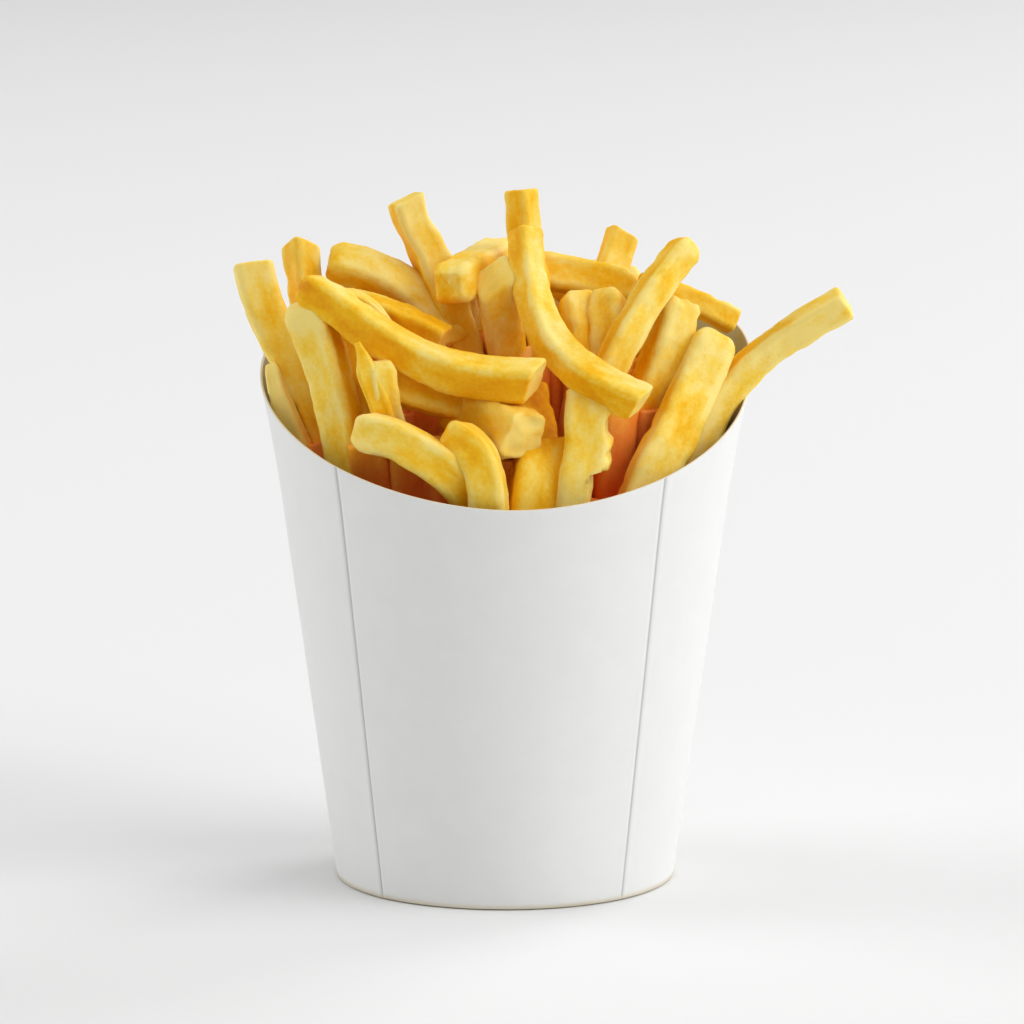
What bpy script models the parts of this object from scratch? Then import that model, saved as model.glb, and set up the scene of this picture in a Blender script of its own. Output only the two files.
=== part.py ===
"""French fries in a scooped round paperboard carton.

A slim tapered paper cup, open at the top, whose rim dips at the front and climbs at the back, with
a heap of thick straight-cut fries standing and leaning in it. Lengths are in millimetres until
build_object turns them into metres. +Z is up, the low side of the rim faces -Y, and the origin is
the middle of the flat underside.
"""

import math

import bmesh
import bpy
from mathutils import Vector

MM = 0.001

# Carton: a cone that opens a little faster above the belly, where the fries push it outwards.
BASE_RADIUS = 34.0
TAPER = 0.138
FLARE_START = 76.0
FLARE_REACH = 28.0
FLARE = 1.3
BOARD = 0.5
GAP = 0.3
BASE_THICKNESS = 0.6

# Rim: the height runs from front to back as a power of the half-angle's sine, with a shoulder.
RIM_FRONT = 81.5
RIM_BACK = 116.0
RIM_POWER = 1.85
SCOOP_TURN = math.radians(3.0)

# Shoulder: how much the rim lifts where the +X side turns to the back, and the angles from the front
# between which the lift comes in and fades out.
SHOULDER = 4.0
SHOULDER_RISE = (math.radians(84.0), math.radians(94.0))
SHOULDER_FADE = (math.radians(100.0), math.radians(165.0))

WALL_SEGMENTS = 96
WALL_LEVELS = (0.0, 0.45, 0.75, 0.86, 0.93, 1.0)

# Packed middle of the heap, below the fries that show singly.
CORE_BOTTOM = BASE_THICKNESS + 0.4
CORE_SEGMENTS = 32
CORE_BELOW_RIM = 9.0
CORE_LEVELS = (0.0, 0.5, 1.0)
CORE_CROWN = 100.0
CORE_RINGS = (0.7, 0.35)
CLEARANCE = 0.35

# Fries that stand out of the heap: centreline points (x, y, z), width across the view from the
# front, depth away from it, and the turn about the fry's own line in degrees.
FRIES = {
    "far_left": (((-50.5, 3, 123), (-48.5, 2, 116.5), (-44.5, 1, 107), (-38.5, -2, 96.5),
                 (-34, -7, 86.5)), 8, 7, 10),
    "left_sliver": (((-46.5, -3, 104), (-45, -5.5, 98.5), (-43, -8, 92.5),
                    (-40, -10, 85.5)), 4.5, 4.5, -10),
    "left_behind": (((-41, 10, 125.5), (-40, 9, 117), (-37.5, 6, 105.5), (-34, 2, 92)), 6, 6, 40),
    "left_wide": (((-39, -14, 118), (-35.5, -17, 107), (-33, -20, 97), (-31.5, -22, 88.5),
                  (-30, -24, 80)), 7.5, 7, -24),
    "left_shade": (((-31.5, -8, 112), (-30.5, -12, 102), (-29.5, -16, 92.5), (-28.5, -18, 83)), 7, 7, 10),
    "sagging": (((-40, -15, 121.5), (-32.5, -18, 117), (-23.5, -22, 111), (-12.5, -25, 106),
                (-2, -27.5, 104.5), (6, -29, 104.5)), 7, 7, -14),
    "arch_back": (((-35.5, 9, 123), (-29, 9, 121.5), (-22, 8, 118), (-15.5, 6, 113),
                  (-10.5, 2, 106)), 8, 8, 42),
    "stub_mid": (((-12, -10, 109.5), (-18.5, -8, 112), (-26, -4, 114.5), (-32, 2, 115)), 6, 6, 15),
    "tall_left": (((-20, 9, 135.5), (-18, 9, 130), (-14.5, 8, 123), (-11, 6, 113.5),
                  (-6, 1, 100)), 7, 7, 20),
    "to_viewer": (((-11, -10, 120.5), (-7, 2, 121), (-1, 20, 122.5)), 8, 8, 4),
    "lean_front": (((-2, -7, 122), (-1, -4, 115), (0.5, 0, 106), (2, 4, 95.5)), 8, 8, 6),
    "long_curve": (((4, -4, 131), (5, -9, 121.5), (8.5, -17, 111.5), (16, -26, 105),
                   (26.5, -31, 100)), 6, 6, -42),
    "top_back": (((3, 7, 137.5), (4, 6, 128.5), (6, 3, 116), (8.5, -2, 104.5)), 5.5, 5.5, -32),
    "back_flat": (((7, 11, 121), (16, 10, 119.5), (26, 7, 117.5)), 7, 7, 20),
    "stub_right": (((24, 17, 127.5), (22, 15, 122.5), (19.5, 11, 115), (17.5, 6, 106.5)), 6.5, 6.5, 10),
    "lean_right": (((37, 2, 127.5), (32, -2, 122), (27, -7, 115.5), (23, -11, 108), (19, -13, 100),
                   (16, -13, 90)), 6, 6, 16),
    "crumb_a": (((14, 3, 117), (16, -2, 107.5), (18, -5, 97)), 7.5, 7, 25),
    "crumb_b": (((20, 1, 118), (21, -4, 108), (21, -6, 97)), 7, 7, -20),
    "crumb_end": (((35, 0, 116), (32.5, -4, 108), (28.5, -6, 98), (25, -6, 87)), 7.5, 7.5, 24),
    "yellow_back": (((27, 11, 118), (34, 13, 115.5), (40.5, 14, 113), (46.5, 15, 110)), 5, 5, 20),
    "big_right": (((42, -3, 109.5), (38.5, -8, 102.5), (34.5, -15, 94.5), (30, -22, 86),
                  (26.5, -26, 78.5)), 9, 7.5, 8),
    "far_right": (((68, -3, 116), (58.5, -2, 110.5), (50.5, -2, 104), (44, -4, 96.5), (39.5, -10, 88),
                  (35.5, -16, 78.5)), 6, 6, 14),
    "split_fry": (((-24, -27, 108), (-23.5, -27, 102), (-22.5, -24, 96), (-21.5, -20, 89),
                  (-20, -10, 77.5)), 6, 6, 8),
    "split_spike": (((-29, -27, 111.5), (-27.5, -27.5, 109), (-27, -27.5, 106), (-25, -27.5, 101),
                    (-23.5, -26, 96)), 4.5, 5.5, 0),
    "front_left": (((-29, -31, 95), (-21, -34, 93.5), (-14.5, -36, 90), (-9, -36, 85),
                   (-5, -32, 78.5)), 7.5, 7.5, 4),
    "front_arch": (((-10.5, -33, 95), (-6, -37, 92), (-4, -39, 87.5), (-3, -39, 81),
                   (-3, -37, 74.5)), 7.5, 7, -8),
    "brown_under": (((-23.5, -20, 103), (-13, -20, 100), (-2, -18, 97.5)), 8, 7.5, 20),
    "chunk": (((-8.5, -15, 97), (-2.5, -24, 95.5), (4, -33, 94)), 10, 10.5, 10),
    "jagged": (((16.5, -24, 100), (16.5, -28, 96.5), (16, -31, 91), (15, -34, 84.5),
               (14, -36, 76)), 9, 7.5, -6),
    "front_gold": (((8, -25, 90.5), (7.5, -30, 86), (6.5, -33, 81.5), (6, -34, 78)), 12, 7.5, 12),
    "shade_strip": (((4.5, -10, 99.5), (6.5, -18, 91), (9, -26, 80.5)), 6.5, 7, 30),
}

# Fries standing round the back of the carton, one each step, with tops a little above the rim.
BACK_COUNT = 11
BACK_FROM = math.radians(96.0)
BACK_TO = math.radians(264.0)
BACK_RADIUS = 38.5
BACK_FOOT_RADIUS = 30.0
BACK_FOOT_HEIGHT = 82.0
BACK_ABOVE_RIM = 3.0
BACK_SIZE = 7.4

FINISHES = {
    "paperboard": ((0.86, 0.86, 0.83, 1.0), 0.55),
    "board_disc": ((0.83, 0.82, 0.78, 1.0), 0.6),
    "fried_potato": ((0.85, 0.55, 0.14, 1.0), 0.45),
}


def wall_radius(height):
    """Outer radius of the carton at a height."""
    flare = max(0.0, (height - FLARE_START) / FLARE_REACH)
    return BASE_RADIUS + TAPER * height + FLARE * flare * flare


def blend(low, high, value):
    """Smooth step from 0 at low to 1 at high."""
    share = min(1.0, max(0.0, (value - low) / (high - low)))
    return share * share * (3.0 - 2.0 * share)


def rim_height(angle):
    """Height of the rim, where angle 0 is the front (-Y) and grows towards +X."""
    turn = math.remainder(angle - SCOOP_TURN, math.tau)
    shoulder = SHOULDER * blend(*SHOULDER_RISE, turn) * (1.0 - blend(*SHOULDER_FADE, turn))
    return RIM_FRONT + (RIM_BACK - RIM_FRONT) * math.sin(abs(turn) / 2) ** RIM_POWER + shoulder


def place(angle, radius, height):
    """Point at an angle from the front, a distance from the axis and a height."""
    return (radius * math.sin(angle), -radius * math.cos(angle), height)


def build_object(name, points, faces, finish):
    """Closed mesh object in metres, faces outwards, with its own material."""
    mesh = bpy.data.meshes.new(name)
    mesh.from_pydata([Vector(point) * MM for point in points], [], faces)
    tidy = bmesh.new()
    tidy.from_mesh(mesh)
    bmesh.ops.recalc_face_normals(tidy, faces=tidy.faces)
    tidy.to_mesh(mesh)
    tidy.free()
    obj = bpy.data.objects.new(name, mesh)
    bpy.context.scene.collection.objects.link(obj)
    if finish:
        mesh.materials.append(make_material(finish))
    return obj


def make_material(finish):
    """Principled material with the finish's colour and roughness."""
    colour, roughness = FINISHES[finish]
    material = bpy.data.materials.new(finish)
    material.use_nodes = True
    shader = material.node_tree.nodes["Principled BSDF"]
    shader.inputs["Base Color"].default_value = colour
    shader.inputs["Roughness"].default_value = roughness
    shader.inputs["Metallic"].default_value = 0.0
    return material


def ring_faces(rings, segments):
    """Quads that join each ring of points to the next, and the last back to the first."""
    faces = []
    for ring in range(rings):
        here = ring * segments
        there = (ring + 1) % rings * segments
        for step in range(segments):
            after = (step + 1) % segments
            faces.append((here + step, here + after, there + after, there + step))
    return faces


def sleeve(grow, bottom):
    """Points and faces of the carton's wall, made thicker all round by grow."""
    points = []
    for inward in (False, True):
        levels = reversed(WALL_LEVELS) if inward else WALL_LEVELS
        for level in levels:
            for step in range(WALL_SEGMENTS):
                angle = math.tau * step / WALL_SEGMENTS
                height = bottom + (rim_height(angle) + grow - bottom) * level
                radius = wall_radius(height) + (-BOARD - grow if inward else grow)
                points.append(place(angle, radius, height))
    return points, ring_faces(2 * len(WALL_LEVELS), WALL_SEGMENTS)


def build_carton_wall():
    """Tapered sleeve of board with the scooped rim."""
    points, faces = sleeve(0.0, 0.0)
    return build_object("carton_wall", points, faces, "paperboard")


def build_carton_base():
    """Round board floor, level with the sleeve's lower edge."""
    points = []
    for height in (0.0, BASE_THICKNESS):
        radius = wall_radius(height) - BOARD - GAP
        for step in range(WALL_SEGMENTS):
            points.append(place(math.tau * step / WALL_SEGMENTS, radius, height))
    faces = ring_faces(2, WALL_SEGMENTS)[:WALL_SEGMENTS]
    faces.append(tuple(range(WALL_SEGMENTS)))
    faces.append(tuple(range(WALL_SEGMENTS, 2 * WALL_SEGMENTS)))
    return build_object("carton_base", points, faces, "board_disc")


def build_core():
    """Packed potato that fills the carton to just below the rim and rises to a low crown."""
    points = []
    for level in CORE_LEVELS:
        for step in range(CORE_SEGMENTS):
            angle = math.tau * step / CORE_SEGMENTS
            top = rim_height(angle) - CORE_BELOW_RIM
            height = CORE_BOTTOM + (top - CORE_BOTTOM) * level
            points.append(place(angle, wall_radius(height) - BOARD - 2 * CLEARANCE, height))
    for share in CORE_RINGS:
        for step in range(CORE_SEGMENTS):
            angle = math.tau * step / CORE_SEGMENTS
            edge = rim_height(angle) - CORE_BELOW_RIM
            height = CORE_CROWN + (edge - CORE_CROWN) * share
            points.append(place(angle, wall_radius(edge) * share, height))
    rings = len(CORE_LEVELS) + len(CORE_RINGS)
    faces = ring_faces(rings, CORE_SEGMENTS)[:(rings - 1) * CORE_SEGMENTS]
    points.append((0.0, 0.0, CORE_CROWN))
    last = (rings - 1) * CORE_SEGMENTS
    for step in range(CORE_SEGMENTS):
        faces.append((last + step, last + (step + 1) % CORE_SEGMENTS, len(points) - 1))
    faces.append(tuple(range(CORE_SEGMENTS)))
    return build_object("core", points, faces, None)


def section(centre, along, width, depth, turn):
    """Four corners of a fry's cross-section, square to its line."""
    towards = Vector((0, 0, 1)) if abs(along.y) > 0.9 else Vector((0, -1, 0))
    face = (towards - along * towards.dot(along)).normalized()
    side = along.cross(face)
    corners = []
    for across, out in ((-1, -1), (1, -1), (1, 1), (-1, 1)):
        u = across * width / 2
        v = out * depth / 2
        corners.append(centre + side * (u * math.cos(turn) - v * math.sin(turn))
                       + face * (u * math.sin(turn) + v * math.cos(turn)))
    return corners


def build_fry(name, line, width, depth, turn):
    """Square bar that follows its centreline, with flat cut ends."""
    line = [Vector(point) for point in line]
    points = []
    for index, centre in enumerate(line):
        before = line[max(index - 1, 0)]
        after = line[min(index + 1, len(line) - 1)]
        points += section(centre, (after - before).normalized(), width, depth, math.radians(turn))
    faces = ring_faces(len(line), 4)[:4 * (len(line) - 1)]
    faces.append((0, 1, 2, 3))
    faces.append(tuple(len(points) - 4 + corner for corner in range(4)))
    return build_object(name, points, faces, None)


def back_fries():
    """Lines of the fries that stand round the back, each leaning a little differently."""
    for index in range(BACK_COUNT):
        share = index / (BACK_COUNT - 1)
        angle = BACK_FROM + (BACK_TO - BACK_FROM) * share
        sway = math.sin(2.4 * index)
        top = rim_height(angle) + BACK_ABOVE_RIM + 2.5 * math.sin(1.7 * index + 1.0)
        foot = place(angle - 0.12 * sway, BACK_FOOT_RADIUS, BACK_FOOT_HEIGHT)
        head = place(angle + 0.12 * sway, BACK_RADIUS + 1.5 * sway, top)
        yield "back_%d" % index, (foot, head), BACK_SIZE, BACK_SIZE - 0.6, math.degrees(angle) + 12 * sway


def join_all(body, others, operation):
    """Body joined with, or cut by, every other object. The others are removed."""
    helpers = bpy.data.collections.new("helpers")
    for other in others:
        helpers.objects.link(other)
    step = body.modifiers.new(operation.lower(), "BOOLEAN")
    step.operation = operation
    step.solver = "EXACT"
    step.operand_type = "COLLECTION"
    step.collection = helpers
    graph = bpy.context.evaluated_depsgraph_get()
    body.data = bpy.data.meshes.new_from_object(body.evaluated_get(graph))
    body.modifiers.clear()
    for other in others:
        bpy.data.objects.remove(other)
    bpy.data.collections.remove(helpers)


def build_fries():
    """The heap as one body: packed middle and standing fries, kept clear of the board."""
    heap = build_core()
    singles = [build_fry(name, *shape) for name, shape in FRIES.items()]
    singles += [build_fry(*shape) for shape in back_fries()]
    join_all(heap, singles, "UNION")
    points, faces = sleeve(CLEARANCE, -1.0)
    join_all(heap, [build_object("board_clearance", points, faces, None)], "DIFFERENCE")
    heap.name = "fries"
    heap.data.name = "fries"
    heap.data.materials.clear()
    heap.data.materials.append(make_material("fried_potato"))
    return heap


def main():
    """Empties the scene and builds the three pieces."""
    for obj in list(bpy.data.objects):
        bpy.data.objects.remove(obj)
    build_carton_wall()
    build_carton_base()
    build_fries()


main()
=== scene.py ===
"""Looks of a heap of french fries in a scooped paperboard carton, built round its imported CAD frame.

Shapes are worked out in millimetres and turned into metres when they are put into a mesh. Angles
round the carton start at the front, where the rim is low, and grow towards +X.
"""

import logging
import math
from dataclasses import dataclass, field
from enum import Enum

import bpy
import numpy as np
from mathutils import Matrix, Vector


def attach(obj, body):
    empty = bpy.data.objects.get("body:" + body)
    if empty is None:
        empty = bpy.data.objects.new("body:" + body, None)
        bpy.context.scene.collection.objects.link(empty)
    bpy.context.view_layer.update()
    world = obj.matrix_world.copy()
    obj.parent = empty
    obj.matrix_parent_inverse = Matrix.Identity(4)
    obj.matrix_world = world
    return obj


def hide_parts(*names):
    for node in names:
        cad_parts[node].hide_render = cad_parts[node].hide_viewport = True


Array = np.ndarray
Colour = tuple[float, float, float]
Point = tuple[float, float, float]
Tree = bpy.types.NodeTree
Node = bpy.types.Node
Socket = bpy.types.NodeSocket

LOG = logging.getLogger("fries_carton")
MM = 0.001

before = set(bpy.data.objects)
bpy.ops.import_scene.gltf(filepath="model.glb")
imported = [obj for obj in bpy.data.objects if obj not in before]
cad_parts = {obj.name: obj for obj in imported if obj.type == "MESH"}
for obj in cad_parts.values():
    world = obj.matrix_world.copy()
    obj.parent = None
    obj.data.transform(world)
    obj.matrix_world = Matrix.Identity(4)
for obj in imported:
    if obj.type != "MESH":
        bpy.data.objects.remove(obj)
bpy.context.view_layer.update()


# ---------------------------------------------------------------- numbers over space


def lattice_noise(points: Array, cell: float, seed: int) -> Array:
    """Smooth noise: random numbers on a cubic lattice, blended between corners by 3t^2 - 2t^3.

    Args:
        points: Places, with x, y, z in the last axis.
        cell: Lattice spacing, in the points' unit.
        seed: Whole number that picks the lattice.

    Returns:
        Values from -1 to 1, one for each place.
    """
    grid = np.asarray(points, float) / cell + 4096.0
    base = np.floor(grid).astype(np.int64)
    part = grid - base
    part = part * part * (3.0 - 2.0 * part)
    total = np.zeros(grid.shape[:-1])
    for corner in range(8):
        step = np.array([corner & 1, corner >> 1 & 1, corner >> 2 & 1])
        weight = np.prod(np.where(step == 1, part, 1.0 - part), axis=-1)
        key = (base + step) @ np.array([73856093, 19349663, 83492791]) + seed * 26544357
        key = (key ^ (key >> 13)) * 1274126177 & 0xFFFFFFFF
        key = (key ^ (key >> 15)) * 668265263 & 0xFFFFFFFF
        total += weight * ((key ^ (key >> 16)) & 0xFFFF) / 65535.0
    return total * 2.0 - 1.0


def smooth(low: float, high: float, value: Array) -> Array:
    """Smoothstep: 0 below low, 1 above high, 3t^2 - 2t^3 between."""
    share = np.clip((value - low) / (high - low), 0.0, 1.0)
    return share * share * (3.0 - 2.0 * share)


def unit(vectors: Array) -> Array:
    """Vectors of the last axis, each divided by its length."""
    return vectors / np.maximum(np.linalg.norm(vectors, axis=-1, keepdims=True), 1e-9)


# ---------------------------------------------------------------- meshes


@dataclass
class Surface:
    """A mesh under construction: corner points in millimetres, faces and per-point values."""

    points: Array
    quads: Array
    caps: list[Array] = field(default_factory=list)
    values: dict[str, Array] = field(default_factory=dict)


def grid_quads(rows: int, columns: int, loop_rows: bool = False, start: int = 0) -> Array:
    """Quads of a grid whose columns run round in a ring.

    Args:
        rows: Number of rings.
        columns: Points in a ring.
        loop_rows: Also join the last ring to the first.
        start: Index of the grid's first point.

    Returns:
        Four point indices for each quad.
    """
    row = np.arange(rows if loop_rows else rows - 1)[:, None]
    column = np.arange(columns)[None, :]
    after_row = (row + 1) % rows
    after_column = (column + 1) % columns
    corners = (
        row * columns + column,
        row * columns + after_column,
        after_row * columns + after_column,
        after_row * columns + column,
    )
    return start + np.stack(corners, axis=-1).reshape(-1, 4)


def join(surfaces: list[Surface]) -> Surface:
    """Several surfaces as one.

    Args:
        surfaces: The surfaces, all with the same values.

    Returns:
        One surface, in which each keeps its own points.
    """
    starts = np.cumsum([0] + [len(s.points) for s in surfaces])
    caps = [cap + start for s, start in zip(surfaces, starts) for cap in s.caps]
    names = surfaces[0].values
    return Surface(
        points=np.vstack([s.points for s in surfaces]),
        quads=np.vstack([s.quads + start for s, start in zip(surfaces, starts)]),
        caps=caps,
        values={name: np.concatenate([s.values[name] for s in surfaces]) for name in names},
    )


def put_mesh(name: str, surface: Surface, material: bpy.types.Material) -> bpy.types.Object:
    """Turns a surface into a shaded mesh object at the origin.

    Args:
        name: Name of the piece.
        surface: The surface, in millimetres.
        material: Its material.

    Returns:
        The object, with one attribute for each of the surface's values.
    """
    corners = np.concatenate([surface.quads.reshape(-1), *surface.caps]).astype(np.int32)
    sizes = np.concatenate([np.full(len(surface.quads), 4), [len(cap) for cap in surface.caps]])
    sizes = sizes.astype(np.int32)
    starts = np.concatenate([[0], np.cumsum(sizes)[:-1]]).astype(np.int32)
    mesh = bpy.data.meshes.new(name)
    mesh.vertices.add(len(surface.points))
    mesh.vertices.foreach_set("co", (surface.points * MM).astype(np.float32).reshape(-1))
    mesh.loops.add(int(sizes.sum()))
    mesh.loops.foreach_set("vertex_index", corners)
    mesh.polygons.add(len(sizes))
    mesh.polygons.foreach_set("loop_start", starts)
    mesh.polygons.foreach_set("loop_total", sizes)
    mesh.update(calc_edges=True)
    mesh.validate()
    mesh.polygons.foreach_set("use_smooth", np.ones(len(mesh.polygons), bool))
    for key, value in surface.values.items():
        kind, slot = ("FLOAT", "value") if value.ndim == 1 else ("FLOAT_VECTOR", "vector")
        layer = mesh.attributes.new(key, kind, "POINT")
        layer.data.foreach_set(slot, value.astype(np.float32).reshape(-1))
    mesh.materials.append(material)
    mesh.update()
    obj = bpy.data.objects.new(name, mesh)
    bpy.context.scene.collection.objects.link(obj)
    return obj


def report(obj: bpy.types.Object) -> None:
    """Logs a piece's name and size in faces."""
    LOG.info("%s: %d faces", obj.name, len(obj.data.polygons))


# ---------------------------------------------------------------- shader parts


def add_node(tree: Tree, kind: str, **settings: object) -> Node:
    """Adds a shader node.

    Args:
        tree: The node tree.
        kind: Blender's name for the node's type.
        **settings: Node properties, or numbers for the sockets of the same name.

    Returns:
        The node.
    """
    node = tree.nodes.new(kind)
    for key, value in settings.items():
        if hasattr(node, key):
            setattr(node, key, value)
        else:
            node.inputs[key.replace("_", " ")].default_value = value
    return node


def connect(tree: Tree, source: Socket, target: Socket) -> None:
    """Links one socket to another."""
    tree.links.new(source, target)


def arithmetic(tree: Tree, operation: str, first: Socket | float, second: Socket | float,
               clamp: bool = False) -> Socket:
    """A Math node whose two inputs are sockets or plain numbers.

    Args:
        tree: The node tree.
        operation: Name of the Math operation.
        first: Socket or number.
        second: Socket or number.
        clamp: Keep the result from 0 to 1.

    Returns:
        The result's socket.
    """
    node = add_node(tree, "ShaderNodeMath", operation=operation, use_clamp=clamp)
    for index, value in enumerate((first, second)):
        if isinstance(value, (int, float)):
            node.inputs[index].default_value = value
        else:
            connect(tree, value, node.inputs[index])
    return node.outputs[0]


def mix_colours(tree: Tree, share: Socket | float, first: Socket | Colour, second: Socket | Colour) -> Socket:
    """A colour mixed from two sockets or colours.

    Args:
        tree: The node tree.
        share: Socket or number, 0 for the first colour and 1 for the second.
        first: Socket or colour.
        second: Socket or colour.

    Returns:
        The mixed colour's socket.
    """
    node = add_node(tree, "ShaderNodeMix", data_type="RGBA")
    sockets = (node.inputs["Factor"], node.inputs[6], node.inputs[7])
    for socket, value in zip(sockets, (share, first, second)):
        if isinstance(value, Socket):
            connect(tree, value, socket)
        elif isinstance(value, tuple):
            socket.default_value = (*value, 1.0)
        else:
            socket.default_value = value
    return node.outputs[2]


def ramp(tree: Tree, share: Socket, stops: tuple[tuple[float, Colour], ...]) -> Socket:
    """Colour ramp with the given stops.

    Args:
        tree: The node tree.
        share: Socket from 0 to 1.
        stops: Position and colour of each stop, in order.

    Returns:
        The colour's socket.
    """
    node = add_node(tree, "ShaderNodeValToRGB")
    elements = node.color_ramp.elements
    while len(elements) < len(stops):
        elements.new(0.5)
    for element, (position, colour) in zip(elements, stops):
        element.position = position
        element.color = (*colour, 1.0)
    connect(tree, share, node.inputs[0])
    return node.outputs[0]


def object_place(tree: Tree) -> Socket:
    """Socket of Object coordinates."""
    return add_node(tree, "ShaderNodeTexCoord").outputs["Object"]


def skin_place(tree: Tree) -> Socket:
    """Socket of the place on a fry as if it were straight, with its length along Z."""
    return add_node(tree, "ShaderNodeAttribute", attribute_name="rest").outputs["Vector"]


def noise_value(tree: Tree, place: Socket, size: float, detail: float,
                shift: float = 0.0, along: float = 1.0) -> Socket:
    """Noise texture at a place.

    Args:
        tree: The node tree.
        place: Socket of the coordinates, in metres.
        size: Size of one blotch, in metres.
        detail: Number of finer layers.
        shift: Moves the pattern, so that two of one size differ.
        along: Scale along Z, below 1 to draw the blotches out.

    Returns:
        Socket of the noise value.
    """
    moved = add_node(tree, "ShaderNodeMapping")
    moved.inputs["Location"].default_value = (shift, -shift, 2.0 * shift)
    moved.inputs["Scale"].default_value = (1.0, 1.0, along)
    connect(tree, place, moved.inputs["Vector"])
    noise = add_node(tree, "ShaderNodeTexNoise", Scale=1.0 / size, Detail=detail, Roughness=0.55)
    connect(tree, moved.outputs["Vector"], noise.inputs["Vector"])
    return noise.outputs["Fac"]


def point_value(tree: Tree, name: str) -> Socket:
    """Socket of a float attribute of the mesh."""
    return add_node(tree, "ShaderNodeAttribute", attribute_name=name).outputs["Fac"]


def new_group(name: str, inputs: dict[str, float], outputs: tuple[str, ...]) -> Tree:
    """Empty shader node group with named float sockets.

    Args:
        name: Name of the group.
        inputs: Input names and their default numbers.
        outputs: Output names.

    Returns:
        The group's tree.
    """
    tree = bpy.data.node_groups.new(name, "ShaderNodeTree")
    for key, value in inputs.items():
        socket = tree.interface.new_socket(key, in_out="INPUT", socket_type="NodeSocketFloat")
        socket.default_value = value
    for key in outputs:
        tree.interface.new_socket(key, in_out="OUTPUT", socket_type="NodeSocketFloat")
    return tree


def place_group(tree: Tree, group: Tree, **numbers: float) -> Node:
    """A node group placed in a material.

    Args:
        tree: The material's tree.
        group: The group.
        **numbers: Values for its inputs, with _ for a space.

    Returns:
        The group node.
    """
    node = tree.nodes.new("ShaderNodeGroup")
    node.node_tree = group
    for key, value in numbers.items():
        node.inputs[key.replace("_", " ")].default_value = value
    return node


def new_material(name: str) -> tuple[bpy.types.Material, Tree, Node]:
    """A material with only a Principled shader.

    Args:
        name: Name of the material.

    Returns:
        The material, its tree and the shader.
    """
    material = bpy.data.materials.new(name)
    material.use_nodes = True
    tree = material.node_tree
    return material, tree, tree.nodes["Principled BSDF"]


def bump(tree: Tree, shader: Node, height: Socket, depth: float) -> None:
    """Feeds a height into the shader's normal.

    Args:
        tree: The material's tree.
        shader: The shader.
        height: Socket of the height, from 0 to about 1.
        depth: How far a height of 1 stands out, in metres.
    """
    node = add_node(tree, "ShaderNodeBump", Strength=1.0, Distance=depth)
    connect(tree, height, node.inputs["Height"])
    connect(tree, node.outputs["Normal"], shader.inputs["Normal"])


# ---------------------------------------------------------------- finishes


@dataclass(frozen=True)
class CrustPattern:
    """Fried crust: sizes in metres and weights of its patches, blotches, specks, blisters and grain."""

    patch: float = 0.008
    patch_along: float = 0.55
    blotch: float = 0.0024
    blotch_along: float = 0.6
    blotch_share: float = 0.55
    speck: float = 0.0008
    speck_share: float = 0.3
    blister: float = 0.0017
    blister_reach: float = 0.55
    blister_share: float = 0.9
    grain: float = 0.0006
    roughness: float = 0.52
    roughness_drift: float = 0.35

    def group(self) -> Tree:
        """Builds the shader group.

        Browning is the tone, plus patches, blotches and specks about zero, plus a change on the
        ridges that paints a highlight along them when it is below zero. Height is fine grain plus
        small round blisters. Gloss is the roughness, which drifts with the blotches.

        Returns:
            The group's tree.
        """
        tree = new_group(
            "fried_crust",
            {"Tone": 0.4, "Ridge": 0.0, "Blotch": 0.3, "Ridge Lift": 0.0, "Grain": 0.5},
            ("Browning", "Height", "Gloss"),
        )
        given = add_node(tree, "NodeGroupInput")
        result = add_node(tree, "NodeGroupOutput")
        skin = skin_place(tree)
        patches = noise_value(tree, skin, self.patch, 2.0, 0.0, self.patch_along)
        patches = arithmetic(tree, "SUBTRACT", patches, 0.5)
        blotch = noise_value(tree, skin, self.blotch, 3.0, 0.3, self.blotch_along)
        blotch = arithmetic(tree, "SUBTRACT", blotch, 0.5)
        speck = arithmetic(tree, "SUBTRACT", noise_value(tree, skin, self.speck, 2.0, 0.5), 0.5)
        drift = arithmetic(tree, "ADD", patches, arithmetic(tree, "MULTIPLY", blotch, self.blotch_share))
        drift = arithmetic(tree, "ADD", drift, arithmetic(tree, "MULTIPLY", speck, self.speck_share))
        drift = arithmetic(tree, "MULTIPLY", drift, given.outputs["Blotch"])
        # Painted highlight along the ridges, as a change of browning there.
        ridge = arithmetic(tree, "MULTIPLY", given.outputs["Ridge"], given.outputs["Ridge Lift"])
        browning = arithmetic(tree, "ADD", given.outputs["Tone"], drift)
        browning = arithmetic(tree, "ADD", browning, ridge, True)
        connect(tree, browning, result.inputs["Browning"])
        cells = add_node(tree, "ShaderNodeTexVoronoi", feature="SMOOTH_F1", Scale=1.0 / self.blister)
        connect(tree, skin, cells.inputs["Vector"])
        blisters = arithmetic(tree, "SUBTRACT", self.blister_reach, cells.outputs["Distance"], True)
        fine = noise_value(tree, skin, self.grain, 4.0, 0.7)
        height = arithmetic(tree, "ADD", arithmetic(tree, "MULTIPLY", blisters, self.blister_share), fine)
        height = arithmetic(tree, "MULTIPLY", height, given.outputs["Grain"])
        connect(tree, height, result.inputs["Height"])
        gloss = arithmetic(tree, "MULTIPLY", blotch, self.roughness_drift)
        gloss = arithmetic(tree, "ADD", gloss, self.roughness)
        connect(tree, gloss, result.inputs["Gloss"])
        return tree


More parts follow.
